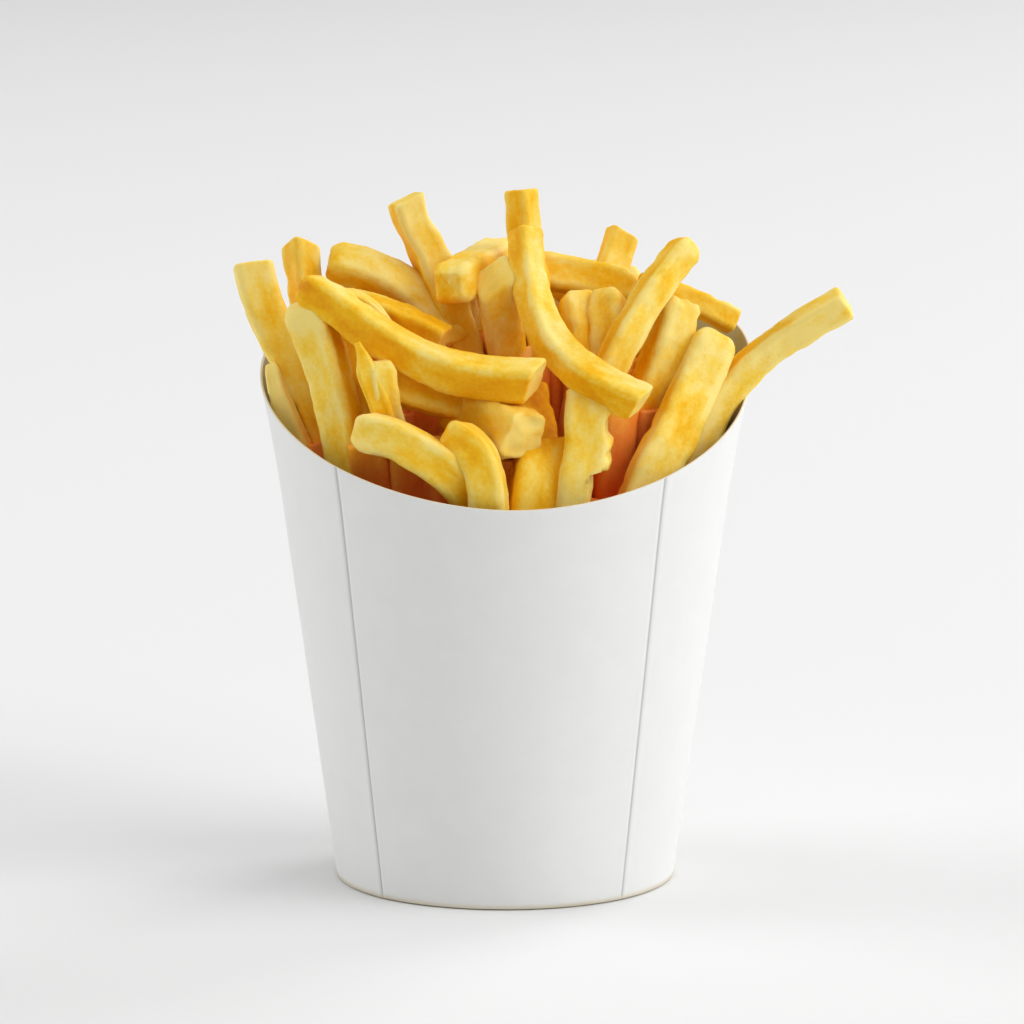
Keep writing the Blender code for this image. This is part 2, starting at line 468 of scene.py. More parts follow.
@dataclass(frozen=True)
class BoardPattern:
    """Paperboard: size in metres of its faint clouds and of its fibres."""

    cloud: float = 0.006
    fibre: float = 0.0005
    fibre_along: float = 0.35

    def group(self) -> Tree:
        """Builds the shader group.

        Returns:
            The group's tree, with Mottle from 0 to 1 and Height.
        """
        tree = new_group("board_fibre", {"Contrast": 1.0, "Fibre": 1.0}, ("Mottle", "Height"))
        given = add_node(tree, "NodeGroupInput")
        result = add_node(tree, "NodeGroupOutput")
        cloud = arithmetic(tree, "SUBTRACT", noise_value(tree, object_place(tree), self.cloud, 4.0), 0.5)
        cloud = arithmetic(tree, "MULTIPLY", cloud, given.outputs["Contrast"])
        connect(tree, arithmetic(tree, "ADD", cloud, 0.5, True), result.inputs["Mottle"])
        fibre = noise_value(tree, object_place(tree), self.fibre, 3.0, 0.0, self.fibre_along)
        fibre = arithmetic(tree, "MULTIPLY", fibre, given.outputs["Fibre"])
        connect(tree, fibre, result.inputs["Height"])
        return tree


@dataclass(frozen=True)
class PotatoFinish:
    """Fried potato: crust from palest to brownest, the bare inside, and painted shade with warm bounce light
    for the gaps deep in the heap.
    """

    name: str
    crust: tuple[tuple[float, Colour], ...] = (
        (0.0, (0.96, 0.75, 0.22)),
        (0.25, (0.95, 0.645, 0.08)),
        (0.5, (0.93, 0.51, 0.011)),
        (0.75, (0.86, 0.39, 0.005)),
        (1.0, (0.76, 0.27, 0.004)),
    )
    pith: Colour = (0.95, 0.72, 0.19)
    # The two gap colours are painted shade with warm bounce light, mixed in where a point lies deep under the
    # heap's top.
    deep: Colour = (1.0, 0.43, 0.085)
    gap_shade_brown: Colour = (0.94, 0.20, 0.03)
    blotch: float = 1.3
    # Below zero: the ridges are painted paler, a painted highlight along the edges.
    painted_ridge_highlight: float = -0.12
    grain: float = 0.5
    grain_depth: float = 0.00012
    specular: float = 0.12
    glow: float = 0.06
    glow_radius: Colour = (1.0, 0.42, 0.08)
    glow_scale: float = 0.002

    def material(self, crust: Tree) -> bpy.types.Material:
        """Builds the material.

        Args:
            crust: The shared crust group.

        Returns:
            The material.
        """
        material, tree, shader = new_material(self.name)
        skin = place_group(tree, crust, Blotch=self.blotch, Ridge_Lift=self.painted_ridge_highlight, Grain=self.grain)
        connect(tree, point_value(tree, "tone"), skin.inputs["Tone"])
        connect(tree, point_value(tree, "ridge"), skin.inputs["Ridge"])
        colour = ramp(tree, skin.outputs["Browning"], self.crust)
        colour = mix_colours(tree, point_value(tree, "pith"), colour, self.pith)
        # Painted shade with warm bounce light in the heap's gaps, by how deep a point lies.
        painted_gap_colour = mix_colours(tree, skin.outputs["Browning"], self.deep, self.gap_shade_brown)
        colour = mix_colours(tree, point_value(tree, "painted_gap_shade"), colour, painted_gap_colour)
        connect(tree, colour, shader.inputs["Base Color"])
        connect(tree, skin.outputs["Gloss"], shader.inputs["Roughness"])
        shader.inputs["Specular IOR Level"].default_value = self.specular
        shader.inputs["Subsurface Weight"].default_value = self.glow
        shader.inputs["Subsurface Radius"].default_value = self.glow_radius
        shader.inputs["Subsurface Scale"].default_value = self.glow_scale
        bump(tree, shader, skin.outputs["Height"], self.grain_depth)
        return material


@dataclass(frozen=True)
class BoardFinish:
    """White paperboard with its cut edge, painted shade with yellow bounce light on its inner face, and
    painted shade along its pressed creases.
    """

    name: str
    face: Colour = (0.86, 0.865, 0.85)
    shade: Colour = (0.80, 0.805, 0.79)
    # Inner face: painted shade with yellow bounce light from the fries, in a dark olive.
    inner: Colour = (0.46, 0.45, 0.33)
    cut: Colour = (0.80, 0.72, 0.55)
    # Painted shade along the pressed creases.
    crease_shade: Colour = (0.36, 0.36, 0.35)
    roughness: float = 0.5
    contrast: float = 0.9
    tooth: float = 0.00002

    def material(self, board: Tree) -> bpy.types.Material:
        """Builds the material.

        Args:
            board: The shared board group.

        Returns:
            The material.
        """
        material, tree, shader = new_material(self.name)
        fibre = place_group(tree, board, Contrast=self.contrast)
        colour = mix_colours(tree, fibre.outputs["Mottle"], self.shade, self.face)
        # Painted shade with yellow bounce light on the inner face.
        colour = mix_colours(tree, point_value(tree, "inside"), colour, self.inner)
        # Painted shade along each pressed crease.
        colour = mix_colours(tree, point_value(tree, "crease_shade"), colour, self.crease_shade)
        colour = mix_colours(tree, point_value(tree, "cut"), colour, self.cut)
        connect(tree, colour, shader.inputs["Base Color"])
        shader.inputs["Roughness"].default_value = self.roughness
        bump(tree, shader, fibre.outputs["Height"], self.tooth)
        return material


# ---------------------------------------------------------------- carton


@dataclass(frozen=True)
class CartonShape:
    """The carton's form: a tapered round cup whose rim dips at the front."""

    base_radius: float = 34.0
    taper: float = 0.138
    flare_start: float = 76.0
    flare_reach: float = 28.0
    flare: float = 1.3
    board: float = 0.5
    rim_front: float = 81.5
    rim_back: float = 116.0
    rim_power: float = 1.85
    scoop_turn: float = math.radians(3.0)
    shoulder: float = 4.0
    shoulder_rise: tuple[float, float] = (math.radians(84.0), math.radians(94.0))
    shoulder_fade: tuple[float, float] = (math.radians(100.0), math.radians(165.0))

    def radius(self, height: Array) -> Array:
        """Outer radius: a cone, plus a flare that grows with the square of the height above its start."""
        lift = np.maximum(0.0, (height - self.flare_start) / self.flare_reach)
        return self.base_radius + self.taper * height + self.flare * lift * lift

    def rim(self, angle: Array) -> Array:
        """Height of the rim.

        It climbs from front to back with a power of the sine of half the angle, and has a shoulder
        where the +X side turns to the back.

        Args:
            angle: Angles round the carton.

        Returns:
            The heights.
        """
        turn = np.remainder(angle - self.scoop_turn + math.pi, math.tau) - math.pi
        climb = (self.rim_back - self.rim_front) * np.sin(np.abs(turn) / 2.0) ** self.rim_power
        shoulder = smooth(*self.shoulder_rise, turn) * (1.0 - smooth(*self.shoulder_fade, turn))
        return self.rim_front + climb + self.shoulder * shoulder

    def inner_radius(self, height: Array) -> Array:
        """Radius of the inner face of the board."""
        return self.radius(height) - self.board


@dataclass(frozen=True)
class Carton:
    """Sleeve with scored creases and a lap seam at the back, and the board disc that closes it.

    Angles here are in degrees. A lip is the board pushed up beside a crease, the kink is how far a
    crease stands out from the flatter panels, and the lap is the board that ends at the seam.
    """

    shape: CartonShape
    columns: int = 300
    rows: int = 73
    near_crease: float = 1.4
    creases: tuple[float, ...] = (-45.0, 42.5, 135.0, -137.5)
    crease_depth: float = 0.16
    crease_width: float = 0.42
    lip_height: float = 0.06
    lip_place: float = 1.0
    lip_width: float = 0.45
    # Strength and width of the painted shade along each crease.
    crease_shade_strength: float = 0.75
    crease_shade_width: float = 0.26
    arc_radius: float = 42.0
    kink: float = 0.25
    half_panel: float = 44.0
    seam: float = 168.0
    seam_edge: float = 0.25
    lap: float = 0.42
    lap_flat: float = 6.0
    lap_reach: float = 32.0
    wave: float = 0.10
    wave_size: float = 24.0
    wave_radius: float = 40.0
    rim_trim: float = 0.15
    rim_round: float = 0.2
    foot_round: float = 0.1
    disc_gap: float = 0.3
    disc_sides: int = 144

    def angles(self) -> Array:
        """Angles of the sleeve's columns, close together at the creases and at the seam.

        Returns:
            The angles in radians, in order.
        """
        even = np.linspace(-180.0, 180.0, self.columns, endpoint=False)
        near = np.linspace(-self.near_crease, self.near_crease, 19)
        centres = np.array([*self.creases, self.seam])
        every = np.concatenate([even, (centres[:, None] + near).reshape(-1)])
        every = np.unique(np.round(np.remainder(every + 180.0, 360.0) - 180.0, 3))
        return np.radians(every)

    def from_crease(self, angle: Array) -> Array:
        """How far round each column lies from its nearest crease.

        Args:
            angle: Angles in radians.

        Returns:
            Signed arcs in degrees.
        """
        arcs = np.degrees(angle)[:, None] - np.array(self.creases)
        arcs = np.remainder(arcs + 180.0, 360.0) - 180.0
        return np.take_along_axis(arcs, np.abs(arcs).argmin(axis=1)[:, None], axis=1)[:, 0]

    def band(self) -> tuple[Array, Array, Array]:
        """The board's edge-on section: up the outside, over the cut rim, down the inside, under the foot.

        Returns:
            Share of the rim's height, distance out from the board's middle and lift, for each row.
        """
        half = self.shape.board / 2.0
        turn = np.linspace(0.0, math.pi, 7)[1:-1]
        climb = np.linspace(0.0, 1.0, self.rows + 1)
        side, flat = np.full(self.rows, half), np.zeros(self.rows)
        level = np.concatenate([climb[1:], np.ones(turn.size), climb[:0:-1], np.zeros(turn.size)])
        out = np.concatenate([side, half * np.cos(turn), -side, -half * np.cos(turn)])
        over, under = self.rim_round * np.sin(turn), self.foot_round * (1.0 - np.sin(turn))
        return level, out, np.concatenate([flat, over, flat, under])

    def folds(self, angle: Array) -> tuple[Array, Array]:
        """What creases, seam and panels do to the board's outside.

        Each crease is a groove, a bell curve of the distance across it, between two raised lips.
        Past the seam the lap steps out and fades. Panels are a little flatter than a cone, so a
        crease stands out by the kink times (1 - a)^2, where a is the arc to it over half a panel.

        Args:
            angle: Angles in radians.

        Returns:
            Relief of the outside, and kink of the whole board, for each angle.
        """
        arc = self.from_crease(angle)
        across = np.radians(arc) * self.arc_radius
        groove = np.exp(-((across / self.crease_width) ** 2))
        lips = np.exp(-(((np.abs(across) - self.lip_place) / self.lip_width) ** 2))
        past = np.remainder(np.degrees(angle) - self.seam + 180.0, 360.0) - 180.0
        lap = self.lap * smooth(-self.seam_edge, self.seam_edge, past)
        lap = lap * (1.0 - smooth(self.lap_flat, self.lap_reach, past))
        panel = self.kink * (1.0 - np.minimum(np.abs(arc) / self.half_panel, 1.0)) ** 2
        return self.lip_height * lips - self.crease_depth * groove + lap, panel

    def sleeve(self) -> Surface:
        """The sleeve: the board's section carried round the cone, with its folds and a slow wave.

        Returns:
            The surface, with inside, crease shade and cut values.
        """
        angle = self.angles()
        half = self.shape.board / 2.0
        level, out, lift = self.band()
        height = level[:, None] * (self.shape.rim(angle) - self.rim_trim)[None, :] + lift[:, None]
        relief, panel = self.folds(angle)
        heading = np.stack([np.sin(angle), -np.cos(angle), np.zeros_like(angle)], axis=-1)
        place = (heading * self.wave_radius)[None] + height[..., None] * np.array([0, 0, 1.0])
        wave = self.wave * lattice_noise(place, self.wave_size, 5)
        radius = self.shape.radius(height) - half + out[:, None] + wave + panel[None, :]
        radius = radius + relief[None, :] * np.clip(out, -0.02, 1.0)[:, None] / half
        # Painted shade: a dark line along each crease, on the outside only.
        across = np.radians(self.from_crease(angle)) * self.arc_radius
        crease_shade = np.exp(-((across / self.crease_shade_width) ** 2)) * self.crease_shade_strength
        outside = (out > 0).astype(float)[:, None]
        ones = np.ones_like(radius)
        values = {
            "inside": (1.0 - outside) * ones,
            "crease_shade": crease_shade[None, :] * outside * ones,
            "cut": (np.abs(out) < half * 0.95).astype(float)[:, None] * ones,
        }
        points = np.stack([radius * np.sin(angle), -radius * np.cos(angle), height], axis=-1)
        return Surface(
            points.reshape(-1, 3),
            grid_quads(len(level), len(angle), loop_rows=True),
            values={key: value.reshape(-1) for key, value in values.items()},
        )

    def floor_disc(self) -> Surface:
        """The board floor: a profile of radius and height turned round the axis, with a pressed ring below.

        Returns:
            The surface, with the same values as the sleeve.
        """
        edge = float(self.shape.inner_radius(np.array(0.0))) - self.disc_gap
        bevel = edge - 0.12
        profile = np.array([
            (0.02, 0.0), (12.0, 0.0), (25.4, 0.0), (25.9, 0.16), (26.6, 0.16), (27.1, 0.0), (30.0, 0.0),
            (bevel, 0.0), (edge, 0.1), (edge, 0.5), (bevel, 0.6), (20.0, 0.6), (0.02, 0.6),
        ])
        radius, height = profile[:, 0], profile[:, 1]
        angle = np.linspace(0.0, math.tau, self.disc_sides, endpoint=False)
        x, y = radius[:, None] * np.sin(angle), -radius[:, None] * np.cos(angle)
        points = np.stack([x, y, height[:, None] + 0.0 * angle], axis=-1)
        flat = np.zeros(radius.size * angle.size)
        rim = (height > 0.05) & (height < 0.55) & (radius > 30.0)
        return Surface(
            points.reshape(-1, 3),
            grid_quads(len(radius), len(angle)),
            caps=[np.arange(self.disc_sides)[::-1], np.arange(flat.size - self.disc_sides, flat.size)],
            values={"inside": flat, "crease_shade": flat, "cut": np.repeat(rim.astype(float), angle.size)},
        )


# ---------------------------------------------------------------- fries


class End(Enum):
    """How a fry ends."""

    CUT = "clean knife cut"
    ROUND = "soft rounded end"
    SNAPPED = "broken, crumbly end"
    POINT = "thin torn point"


@dataclass(frozen=True)
class HeapShape:
    """Where the top of the heap lies, and how deep under it a point gets painted gap shade.

    The top rises over the reach from the start, both along y. The hollow is a place and a depth.
    """

    front: float = 91.0
    back: float = 118.0
    start: float = -40.0
    reach: float = 46.0
    side_drop: float = 13.0
    side_from: float = 22.0
    side_to: float = 44.0
    # Painted gap shade grows from shallow to deep under the top, and lit_share of it fades towards the back.
    shallow: float = 8.0
    deep: float = 24.0
    hollow: Point = (10.5, -9.0, 9.0)
    hollow_reach: float = 6.5
    lit_from: float = 6.0
    lit_reach: float = 14.0
    lit_share: float = 0.85

    def top(self, points: Array) -> Array:
        """Height of the heap's top: a smooth rise to the back, a fall to each side and a round hollow.

        Args:
            points: Places, with x and y first in the last axis.

        Returns:
            The height above each place.
        """
        across, along = points[..., 0], points[..., 1]
        rise = (self.back - self.front) * smooth(self.start, self.start + self.reach, along)
        share = rise / (self.back - self.front)
        x, y, depth = self.hollow
        hole = depth * np.exp(-((across - x) ** 2 + (along - y) ** 2) / self.hollow_reach**2)
        sides = smooth(self.side_from, self.side_to, np.abs(across))
        return self.front + rise - share * self.side_drop * sides - hole

    def painted_gap_shade(self, points: Array) -> Array:
        """How much painted gap shade each point gets: 0 near the top, 1 far below it, and less towards the
        back.

        Args:
            points: The points.

        Returns:
            Values from 0 to 1.
        """
        depth = smooth(self.shallow, self.deep, self.top(points) - points[..., 2])
        lit = smooth(self.lit_from, self.lit_from + self.lit_reach, points[..., 1])
        return depth * (1.0 - self.lit_share * lit)


@dataclass(frozen=True)
class Relief:
    """One layer of noise over a fry: its height and cell in millimetres, its lattice and its start."""

    height: float
    cell: float
    seed: int
    start: float = 0.0

    def noise(self, points: Array) -> Array:
        """Noise at the points, from -1 to 1."""
        return lattice_noise(points, self.cell, self.seed)

    def swell(self, points: Array) -> Array:
        """The layer where it moves the skin both in and out."""
        return self.height * self.noise(points)

    def above(self, points: Array) -> Array:
        """How far the noise rises above the layer's start."""
        return np.maximum(0.0, self.noise(points) - self.start)


@dataclass(frozen=True)
class Skin:
    """Layers of relief and of bareness that every fry's skin has."""

    swells: Relief = Relief(0.22, 5.5, 8)
    lumps: Relief = Relief(0.11, 2.3, 9)
    pimples: Relief = Relief(0.05, 1.1, 17)
    blisters: Relief = Relief(0.34, 2.8, 10, 0.42)
    nibbles: Relief = Relief(0.75, 3.1, 19, 0.30)
    crumble: Relief = Relief(0.45, 1.5, 12)
    torn_push: float = 0.5
    flat_sink: float = 0.12
    sink_drift: Relief = Relief(0.16, 10.0, 7)
    torn_broad: Relief = Relief(0.6, 3.4, 13)
    torn_fine: Relief = Relief(0.35, 1.4, 14)
    cut_grain: Relief = Relief(0.10, 1.1, 18)
    size_drift: Relief = Relief(0.035, 1.0, 4)
    tone_drift: Relief = Relief(0.12, 1.0, 15)
    bare_torn: Relief = Relief(0.9, 1.8, 20)
    bare_cut: Relief = Relief(0.4, 2.0, 21)
    chip_edge: Relief = Relief(0.5, 1.9, 16)
    chip_floor: Relief = Relief(0.5, 1.4, 22)
    sway: Relief = Relief(3.0, 1.0, 3)
    drift_cell: float = 9.0
    apart: Point = (17.3, 5.1, -11.7)

    def push(self, own: Array, ridge: Array, torn: Array, rough: float) -> Array:
        """How far noise moves the skin outwards.

        It is swells, lumps and pimples, plus blisters where their noise runs high, less nibbles
        out of the ridges, plus crumble on rough fries and torn ends.

        Args:
            own: The fry's points, moved to its own part of the noise.
            ridge: Ridge value of each ring point.
            torn: How torn each row is.
            rough: The fry's roughness.

        Returns:
            Millimetres for each point.
        """
        push = self.swells.swell(own) + self.lumps.swell(own) * rough
        push += self.pimples.swell(own) * rough
        push += self.blisters.height * self.blisters.above(own) * rough
        push -= self.nibbles.height * ridge[None] * self.nibbles.above(own) * rough
        crumble = self.crumble.height * max(0.0, rough - 1.0) + self.torn_push * torn[:, None]
        return push + crumble * self.crumble.noise(own)


SKIN = Skin()
CAP_SIZE = np.array([0.10, 0.28, 0.46, 0.63, 0.76, 0.85, 0.925, 0.98])
CAP_INSET = np.array([0.16, 0.14, 0.11, 0.07, 0.03, 0.0, 0.09, 0.30])
CAP_FACE = 0.9
BODY_INSET = 0.6
CURVE_SAMPLES = 16


@dataclass(frozen=True)
class SectionGrid:
    """Rounded square carried along a fry, as unit points round its edge."""

    per_side: int = 8
    per_corner: int = 3
    corner: float = 0.42
    side_ridge: float = 0.8

    def ring(self) -> tuple[Array, Array, Array, Array]:
        """Works out the ring.

        Each side is a straight run of points, then an arc about the corner's centre. The ridge
        value grows with the fourth power of the distance along the side, and is 1 on the arc.

        Returns:
            Points, outward directions, ridge values and side numbers, one for each ring point.
        """
        run = np.linspace(-1.0, 1.0, self.per_side) * (1.0 - self.corner)
        arc = np.linspace(0.0, math.pi / 2.0, self.per_corner + 2)[1:-1]
        centre = 1.0 - self.corner
        normal_part = np.concatenate([np.ones(self.per_side), centre + self.corner * np.cos(arc)])
        along_part = np.concatenate([run, centre + self.corner * np.sin(arc)])
        out_normal = np.concatenate([np.ones(self.per_side), np.cos(arc)])
        out_along = np.concatenate([np.zeros(self.per_side), np.sin(arc)])
        ridge = np.concatenate([np.abs(run / centre) ** 4 * self.side_ridge, np.ones(self.per_corner)])
        turns = np.arange(4) * math.pi / 2.0
        normal = np.stack([np.cos(turns), np.sin(turns)], axis=-1)
        along = np.stack([-np.sin(turns), np.cos(turns)], axis=-1)
        points = normal[:, None] * normal_part[None, :, None]
        points = points + along[:, None] * along_part[None, :, None]
        outward = normal[:, None] * out_normal[None, :, None]
        outward = outward + along[:, None] * out_along[None, :, None]
        sides = np.repeat(np.arange(4), len(ridge))
        return points.reshape(-1, 2), outward.reshape(-1, 2), np.tile(ridge, 4), sides


@dataclass(frozen=True)
class Fry:
    """One straight-cut fry: its centreline, its section, and how it is browned and ends.

    A fry has four sides. The first faces the front when turn is 0, and the others follow round its
    line, so on a line that runs down the second is on the left, and on one that runs to the right
    it is below. The field sides gives the tone added on each, which paints light and shade on the
    faces: paler where a face turns to the light, browner where it turns away or inwards. Fade is
    the tone gained along the line, which paints light and shade from one end to the other, and pale
    is how bare each end face is. A chip is a level bite out of one side: the side's number, the
    distance along the line, the half length and the depth.
    """

    line: tuple[Point, ...]
    width: float = 7.4
    depth: float = 7.4
    turn: float = 0.0
    tone: float = 0.35
    fade: float = 0.0
    sides: tuple[float, float, float, float] = (0.0, 0.0, 0.0, 0.0)
    ends: tuple[End, End] = (End.CUT, End.CUT)
    tilt: tuple[float, float] = (0.0, 0.0)
    far_tilt: tuple[float, float] = (0.0, 0.0)
    pale: tuple[float, float] = (0.5, 0.5)
    rough: float = 1.0
    twist: float = 0.0
    taper: tuple[float, float] = (1.0, 1.0)
    chips: tuple[tuple[int, float, float, float], ...] = ()

    def curve(self, step: float) -> tuple[Array, Array]:
        """Centreline as a smooth curve through its points.

        Between two points it is the cubic whose slope at each is half the chord of that point's
        neighbours, sampled and then spaced evenly by its length.

        Args:
            step: Wanted distance between samples.

        Returns:
            Distances along the curve and their points.
        """
        given = np.array(self.line, float)
        padded = np.vstack([2 * given[0] - given[1], given, 2 * given[-1] - given[-2]])
        share = np.linspace(0.0, 1.0, CURVE_SAMPLES, endpoint=False)[None, :, None]
        a, b, c, d = (padded[i:len(padded) - 3 + i, None] for i in range(4))
        cubic = 0.5 * (2 * b + (c - a) * share + (2 * a - 5 * b + 4 * c - d) * share**2
                       + (3 * b - a - 3 * c + d) * share**3)
        dense = np.vstack([cubic.reshape(-1, 3), given[-1:]])
        length = np.concatenate([[0.0], np.cumsum(np.linalg.norm(np.diff(dense, axis=0), axis=1))])
        even = np.linspace(0.0, length[-1], max(4, int(length[-1] / step) + 1))
        return even, np.stack([np.interp(even, length, dense[:, axis]) for axis in range(3)], axis=-1)

    def rows(self, length: float, step: float) -> tuple[Array, Array]:
        """Rows of the skin: caps that shrink to close each end over a rounded rim, and even rows between.

        Args:
            length: Length of the fry.
            step: Distance between rows.

        Returns:
            Distance along the fry and size of the section, for each row.
        """
        body = np.linspace(BODY_INSET, length - BODY_INSET, max(4, int(length / step)))
        along = np.concatenate([CAP_INSET, body, length - CAP_INSET[::-1]])
        scale = np.concatenate([CAP_SIZE, np.ones(len(body)), CAP_SIZE[::-1]])
        return along, scale

    def drift_place(self, along: Array, seed: int) -> Array:
        """Places on a line through the noise, one line for each fry, for what drifts along it."""
        return np.stack([along / SKIN.drift_cell, np.full_like(along, seed * 3.7), 0.0 * along], axis=-1)

    def frame_at(self, along: Array, step: float, seed: int) -> tuple[Array, Array, Array, Array]:
        """Frame of each row: the first side faces the front, or up on a fry that points forwards.

        Args:
            along: Distances along the fry.
            step: Distance between samples of the centreline.
            seed: Whole number of the fry.

        Returns:
            Middles, and directions along the fry, towards its first side and towards its second.
        """
        even, centre = self.curve(step)
        slope = np.gradient(centre, even, axis=0)
        middle = np.stack([np.interp(along, even, centre[:, axis]) for axis in range(3)], axis=-1)
        tangent = unit(np.stack([np.interp(along, even, slope[:, axis]) for axis in range(3)], axis=-1))
        points_forwards = abs(tangent[:, 1].mean()) > 0.8
        upright = np.array([0.0, 0.0, 1.0]) if points_forwards else np.array([0.0, -1.0, 0.0])
        face = unit(upright - tangent * (tangent @ upright)[:, None])
        side = np.cross(tangent, face)
        sway = SKIN.sway.swell(self.drift_place(along, seed))
        turn = np.radians(self.turn + self.twist * (along / along[-1] - 0.5) + sway)[:, None]
        first = face * np.cos(turn) - side * np.sin(turn)
        second = side * np.cos(turn) + face * np.sin(turn)
        return middle, tangent, first, second

    def end_shift(self, flat: Array, gap_start: Array, gap_end: Array, seed: int) -> Array:
        """How far each point moves along the fry to shape the two ends.

        A cut end leans by its tilt. A snapped end also follows noise over the section on two
        scales. All of it fades within a few millimetres of the end.

        Args:
            flat: Points across the section.
            gap_start: Distance of each row from the start.
            gap_end: Distance of each row from the end.
            seed: Whole number of the fry.

        Returns:
            Shift towards the end of the line, in millimetres.
        """
        over = np.concatenate([flat, np.full(flat.shape[:-1] + (1,), seed * 13.7)], axis=-1)
        torn = SKIN.torn_broad.swell(over) + SKIN.torn_fine.swell(over)
        fine = SKIN.cut_grain.swell(over)
        total = np.zeros(flat.shape[:-1])
        tilts, gaps = (self.tilt, self.far_tilt), (gap_start, gap_end)
        for end, tilt, gap, sense in zip(self.ends, tilts, gaps, (-1.0, 1.0)):
            lean = flat @ np.array(tilt) * np.clip(1.0 - gap / 8.0, 0.0, 1.0)[:, None]
            near = np.exp(-gap / 3.0)[:, None]
            broken = torn if end in (End.SNAPPED, End.POINT) else fine
            total += sense * (lean + near * broken)
        return total

    def shaped_ends(self, scale: Array, gap_start: Array, gap_end: Array) -> tuple[Array, Array]:
        """Shrinks the rows near rounded, pointed and snapped ends.

        Args:
            scale: Size of the section for each row.
            gap_start: Distance of each row from the start.
            gap_end: Distance of each row from the end.

        Returns:
            The new sizes, and how torn each row is.
        """
        torn = np.zeros_like(scale)
        for end, gap in zip(self.ends, (gap_start, gap_end)):
            if end is End.ROUND:
                scale = scale * np.sqrt(np.clip(0.45 + gap / 3.6, 0.0, 1.0))
            if end is End.POINT:
                scale = scale * (0.3 + 0.7 * smooth(0.0, 7.0, gap))
            if end is End.SNAPPED:
                scale = scale * (0.88 + 0.12 * smooth(0.0, 2.5, gap))
                torn = torn + np.exp(-gap / 2.2)
        return scale, torn

    def bitten(self, moved: Array, place: Array, own: Array, middle: Array, tangent: Array,
               along: Array) -> tuple[Array, Array]:
        """Takes the chips out of the sides.

        Within a ragged window of heights, no point stands further out on the chip's side than its
        half width less the chip's depth.

        Args:
            moved: Points across the section.
            place: The points' places.
            own: The places, moved to the fry's own part of the noise.
            middle: Middle of each row.
            tangent: Direction of each row along the fry.
            along: Distance of each row along the fry.

        Returns:
            The points across the section, and how bare each one is.
        """
        half = np.array([self.depth, self.width]) / 2.0
        bare = np.zeros(place.shape[:-1])
        for number, at, reach, depth in self.chips:
            way = np.array([math.cos(number * math.pi / 2.0), math.sin(number * math.pi / 2.0)])
            level, fall = np.interp(at, along, middle[:, 2]), np.interp(at, along, -tangent[:, 2])
            ragged = np.abs((level - place[..., 2]) / fall) + SKIN.chip_edge.swell(own)
            window = 1.0 - smooth(reach - 0.5, reach + 0.5, ragged)
            limit = half @ np.abs(way) - window * (depth + SKIN.chip_floor.swell(own))
            over = np.maximum(0.0, moved @ way - limit)
            moved = moved - way * over[..., None]
            bare = np.maximum(bare, smooth(0.1, 0.8, over) * 0.9)
        return moved, bare

    def surface(self, section: SectionGrid, heap: HeapShape, step: float, seed: int) -> Surface:
        """The fry's skin.

        A rounded square is carried along the centreline. The flats sink between their ridges, the
        size drifts along the length, and layers of noise move the skin in and out. Ends are cut,
        rounded, snapped or pointed, and chips are bitten out last.

        Args:
            section: The ring of the section.
            heap: Tells how deep each point lies.
            step: Distance between rows.
            seed: Whole number that makes this fry differ from the next.

        Returns:
            The surface, with tone, ridge, pith, painted gap shade and rest values.
        """
        ring, outward, ridge, side_number = section.ring()
        length = float(self.curve(step)[0][-1])
        along, scale = self.rows(length, step)
        cap = scale < CAP_FACE
        middle, tangent, first, second = self.frame_at(along, step, seed)
        gap_start, gap_end = along, length - along
        scale, torn = self.shaped_ends(scale, gap_start, gap_end)
        drift = self.drift_place(along, seed)
        size = scale * (1.0 + SKIN.size_drift.swell(drift + 9.1))
        size = size * np.interp(along / length, (0, 1), self.taper)
        flat = size[:, None, None] * (ring * (np.array([self.depth, self.width]) / 2.0))[None]
        place = middle[:, None] + first[:, None] * flat[..., :1] + second[:, None] * flat[..., 1:]
        own = place + seed * np.array(SKIN.apart)

        by_side = own + side_number[None, :, None] * 31.0
        sunk = (1.0 - ridge)[None] * (SKIN.flat_sink + SKIN.sink_drift.swell(by_side))
        push = SKIN.push(own, ridge, torn, self.rough)
        moved = flat + outward[None] * ((push - sunk) * np.minimum(1.0, scale[:, None] ** 3))[..., None]
        moved, bitten = self.bitten(moved, place, own, middle, tangent, along)
        shift = self.end_shift(flat, gap_start, gap_end, seed)
        points = middle[:, None] + first[:, None] * moved[..., :1] + second[:, None] * moved[..., 1:]
        points = points + tangent[:, None] * shift[..., None]

        bare = np.clip(torn[:, None] * (0.75 + SKIN.bare_torn.swell(own)), 0.0, 1.0)
        pale = np.where(gap_start < gap_end, *self.pale) * cap
        bare = np.maximum(bare, pale[:, None] * (0.8 + SKIN.bare_cut.swell(own)))
        # Painted light and shade: each side's tone offset, and the fade along the line.
        painted_side_shading = np.array(self.sides)[side_number][None] * (1.0 - 0.5 * ridge)[None]
        tone = self.tone + self.fade * (along / length - 0.5) + SKIN.tone_drift.swell(drift + 5.5)
        rows, columns = points.shape[:2]
        rest = np.concatenate([flat, np.broadcast_to(along[:, None, None], (rows, columns, 1))], axis=-1)
        values = {
            "tone": tone[:, None] + painted_side_shading,
            "ridge": ridge[None] * (1.0 - cap)[:, None],
            "pith": np.clip(np.maximum(bare, bitten), 0.0, 1.0),
            # Painted gap shade, by how deep under the heap's top the point lies.
            "painted_gap_shade": heap.painted_gap_shade(points),
        }
        values = {key: value.reshape(-1) for key, value in values.items()}
        values["rest"] = (rest + seed * np.array([*SKIN.apart[:2], 0.0])).reshape(-1, 3) * MM
        return Surface(
            points.reshape(-1, 3),
            grid_quads(rows, columns),
            caps=[np.arange(columns)[::-1], np.arange(columns) + (rows - 1) * columns],
            values=values,
        )


